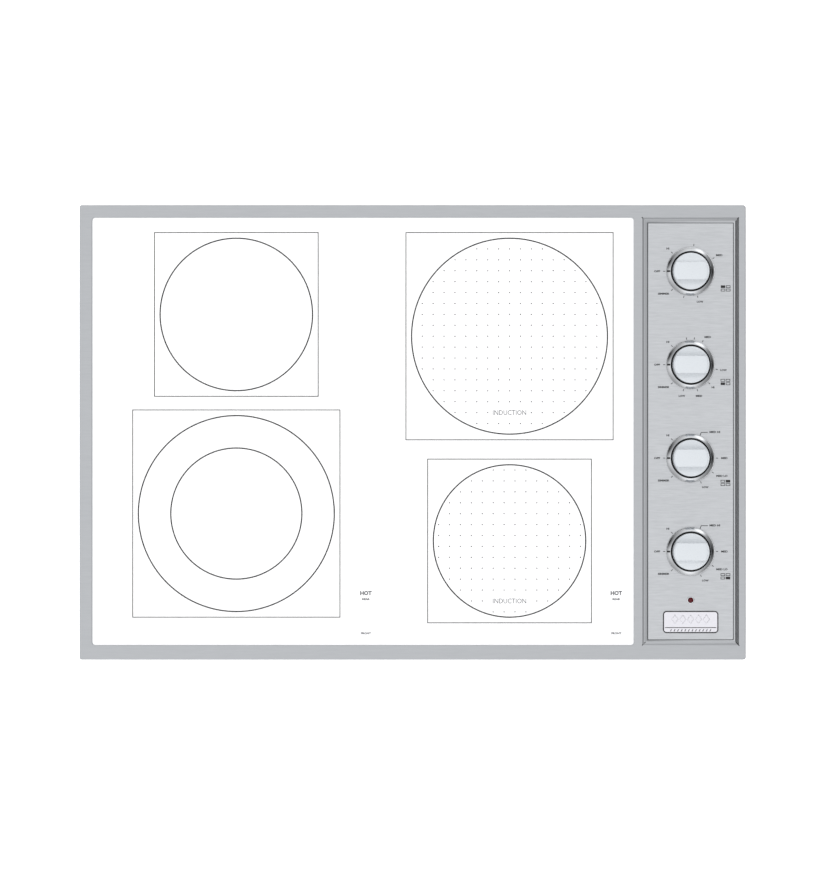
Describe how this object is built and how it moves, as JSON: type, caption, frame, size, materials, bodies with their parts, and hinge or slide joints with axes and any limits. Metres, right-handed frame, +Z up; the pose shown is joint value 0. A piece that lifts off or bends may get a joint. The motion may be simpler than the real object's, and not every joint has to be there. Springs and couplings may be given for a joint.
{
  "type": "electric induction cooktop",
  "caption": "Built-in electric cooktop with radiant and induction zones on a white ceramic glass, a steel trim frame and a side panel of push-to-turn knobs.",
  "frame": {"origin": "middle of the underside of the box, under the middle of the trim frame", "axes": "+X to the user's right, where the controls are; +Y to the rear; +Z up"},
  "size_m": [0.781, 0.533, 0.116],
  "materials": {
    "glass_ceramic": "gloss",
    "stainless_steel": "satin",
    "chrome_plate": "polished",
    "white_thermoset": "satin",
    "nameplate_metal": "satin",
    "red_lens": "gloss",
    "silicone": "matte",
    "foam_rubber": "matte",
    "galvanised_steel": "satin",
    "zinc_plated_steel": "satin",
    "nickel_plated_brass": "satin",
    "brass": "satin",
    "aluminium_sheet": "satin",
    "copper_litz": "satin",
    "ferrite": "matte",
    "mica": "matte",
    "ceramic_insulator": "matte",
    "microporous_insulation": "matte",
    "resistance_alloy": "matte",
    "spring_steel": "satin",
    "circuit_board": "satin",
    "phenolic": "matte",
    "ivory_plastic": "matte",
    "black_nylon": "matte",
    "wire_insulation": "matte"
  },
  "bodies": {
    "cooktop": {"trim_frame": "stainless_steel", "glass_panel": "glass_ceramic", "glass_seal": "silicone", "worktop_gasket": "foam_rubber", "control_panel": "stainless_steel", "nameplate": "nameplate_metal", "indicator_lens": "red_lens", "lamp_holders": "black_nylon", "control_bracket": "galvanised_steel", "panel_nuts": "brass", "chassis": "galvanised_steel", "bottom_cover": "galvanised_steel", "case_screws": "zinc_plated_steel", "clamp_brackets": "zinc_plated_steel", "supply_gland": "nickel_plated_brass", "terminal_block": "ceramic_insulator", "coil_tray": "aluminium_sheet", "coil_winding_rear": "copper_litz", "coil_winding_front": "copper_litz", "coil_formers": "black_nylon", "ferrite_bars": "ferrite", "mica_discs": "mica", "temperature_sensors": "ceramic_insulator", "element_pan_rear": "galvanised_steel", "element_pan_front": "galvanised_steel", "insulation_dishes": "microporous_insulation", "heating_ribbons": "resistance_alloy", "element_rails": "galvanised_steel", "support_springs": "spring_steel", "generator_board": "circuit_board", "heat_sink": "aluminium_sheet", "blower_housing": "black_nylon", "wiring": "wire_insulation", "energy_regulator_left_rear": "phenolic", "energy_regulator_left_front": "phenolic", "power_encoder_right_rear": "phenolic", "power_encoder_right_front": "phenolic"},
    "control_left_rear": {"knob_left_rear": "white_thermoset", "knob_skirt_left_rear": "chrome_plate", "shaft_left_rear": "zinc_plated_steel"},
    "rotor_left_rear": {"switch_rotor_left_rear": "ivory_plastic", "return_spring_left_rear": "spring_steel"},
    "control_left_front": {"knob_left_front": "white_thermoset", "knob_skirt_left_front": "chrome_plate", "shaft_left_front": "zinc_plated_steel"},
    "rotor_left_front": {"switch_rotor_left_front": "ivory_plastic", "return_spring_left_front": "spring_steel"},
    "control_right_rear": {"knob_right_rear": "white_thermoset", "knob_skirt_right_rear": "chrome_plate", "shaft_right_rear": "zinc_plated_steel"},
    "rotor_right_rear": {"switch_rotor_right_rear": "ivory_plastic", "return_spring_right_rear": "spring_steel"},
    "control_right_front": {"knob_right_front": "white_thermoset", "knob_skirt_right_front": "chrome_plate", "shaft_right_front": "zinc_plated_steel"},
    "rotor_right_front": {"switch_rotor_right_front": "ivory_plastic", "return_spring_right_front": "spring_steel"},
    "impeller": {"blower_impeller": "black_nylon"},
    "clamp_left": {"clamp_screw_left": "zinc_plated_steel"},
    "clamp_right": {"clamp_screw_right": "zinc_plated_steel"}
  },
  "joints": [
    {"name": "turn_left_rear", "type": "hinge", "parent": "cooktop", "child": "rotor_left_rear", "pos_m": [0.3256, 0.1887, 0.046], "axis": [0, 0, 1], "continuous": true},
    {"name": "turn_left_front", "type": "hinge", "parent": "cooktop", "child": "rotor_left_front", "pos_m": [0.3256, 0.0793, 0.046], "axis": [0, 0, 1], "continuous": true},
    {"name": "turn_right_rear", "type": "hinge", "parent": "cooktop", "child": "rotor_right_rear", "pos_m": [0.3256, -0.0301, 0.046], "axis": [0, 0, 1], "range_deg": [-315, 0]},
    {"name": "turn_right_front", "type": "hinge", "parent": "cooktop", "child": "rotor_right_front", "pos_m": [0.3256, -0.1395, 0.046], "axis": [0, 0, 1], "range_deg": [-315, 0]},
    {"name": "push_left_rear", "type": "slide", "parent": "rotor_left_rear", "child": "control_left_rear", "axis": [0, 0, -1], "range_m": [0, 0.002], "stiffness_N_per_m": 1500, "springref_m": -0.002, "deforming": ["return_spring_left_rear"]},
    {"name": "push_left_front", "type": "slide", "parent": "rotor_left_front", "child": "control_left_front", "axis": [0, 0, -1], "range_m": [0, 0.002], "stiffness_N_per_m": 1500, "springref_m": -0.002, "deforming": ["return_spring_left_front"]},
    {"name": "push_right_rear", "type": "slide", "parent": "rotor_right_rear", "child": "control_right_rear", "axis": [0, 0, -1], "range_m": [0, 0.002], "stiffness_N_per_m": 1500, "springref_m": -0.002, "deforming": ["return_spring_right_rear"]},
    {"name": "push_right_front", "type": "slide", "parent": "rotor_right_front", "child": "control_right_front", "axis": [0, 0, -1], "range_m": [0, 0.002], "stiffness_N_per_m": 1500, "springref_m": -0.002, "deforming": ["return_spring_right_front"]},
    {"name": "impeller_spin", "type": "hinge", "parent": "cooktop", "child": "impeller", "pos_m": [0.2505, -0.108, 0.005], "axis": [0, 0, 1], "continuous": true},
    {"name": "clamp_left_travel", "type": "slide", "parent": "cooktop", "child": "clamp_left", "axis": [0, 0, 1], "range_m": [-0.003, 0.021]},
    {"name": "clamp_right_travel", "type": "slide", "parent": "cooktop", "child": "clamp_right", "axis": [0, 0, 1], "range_m": [-0.003, 0.021]}
  ]
}
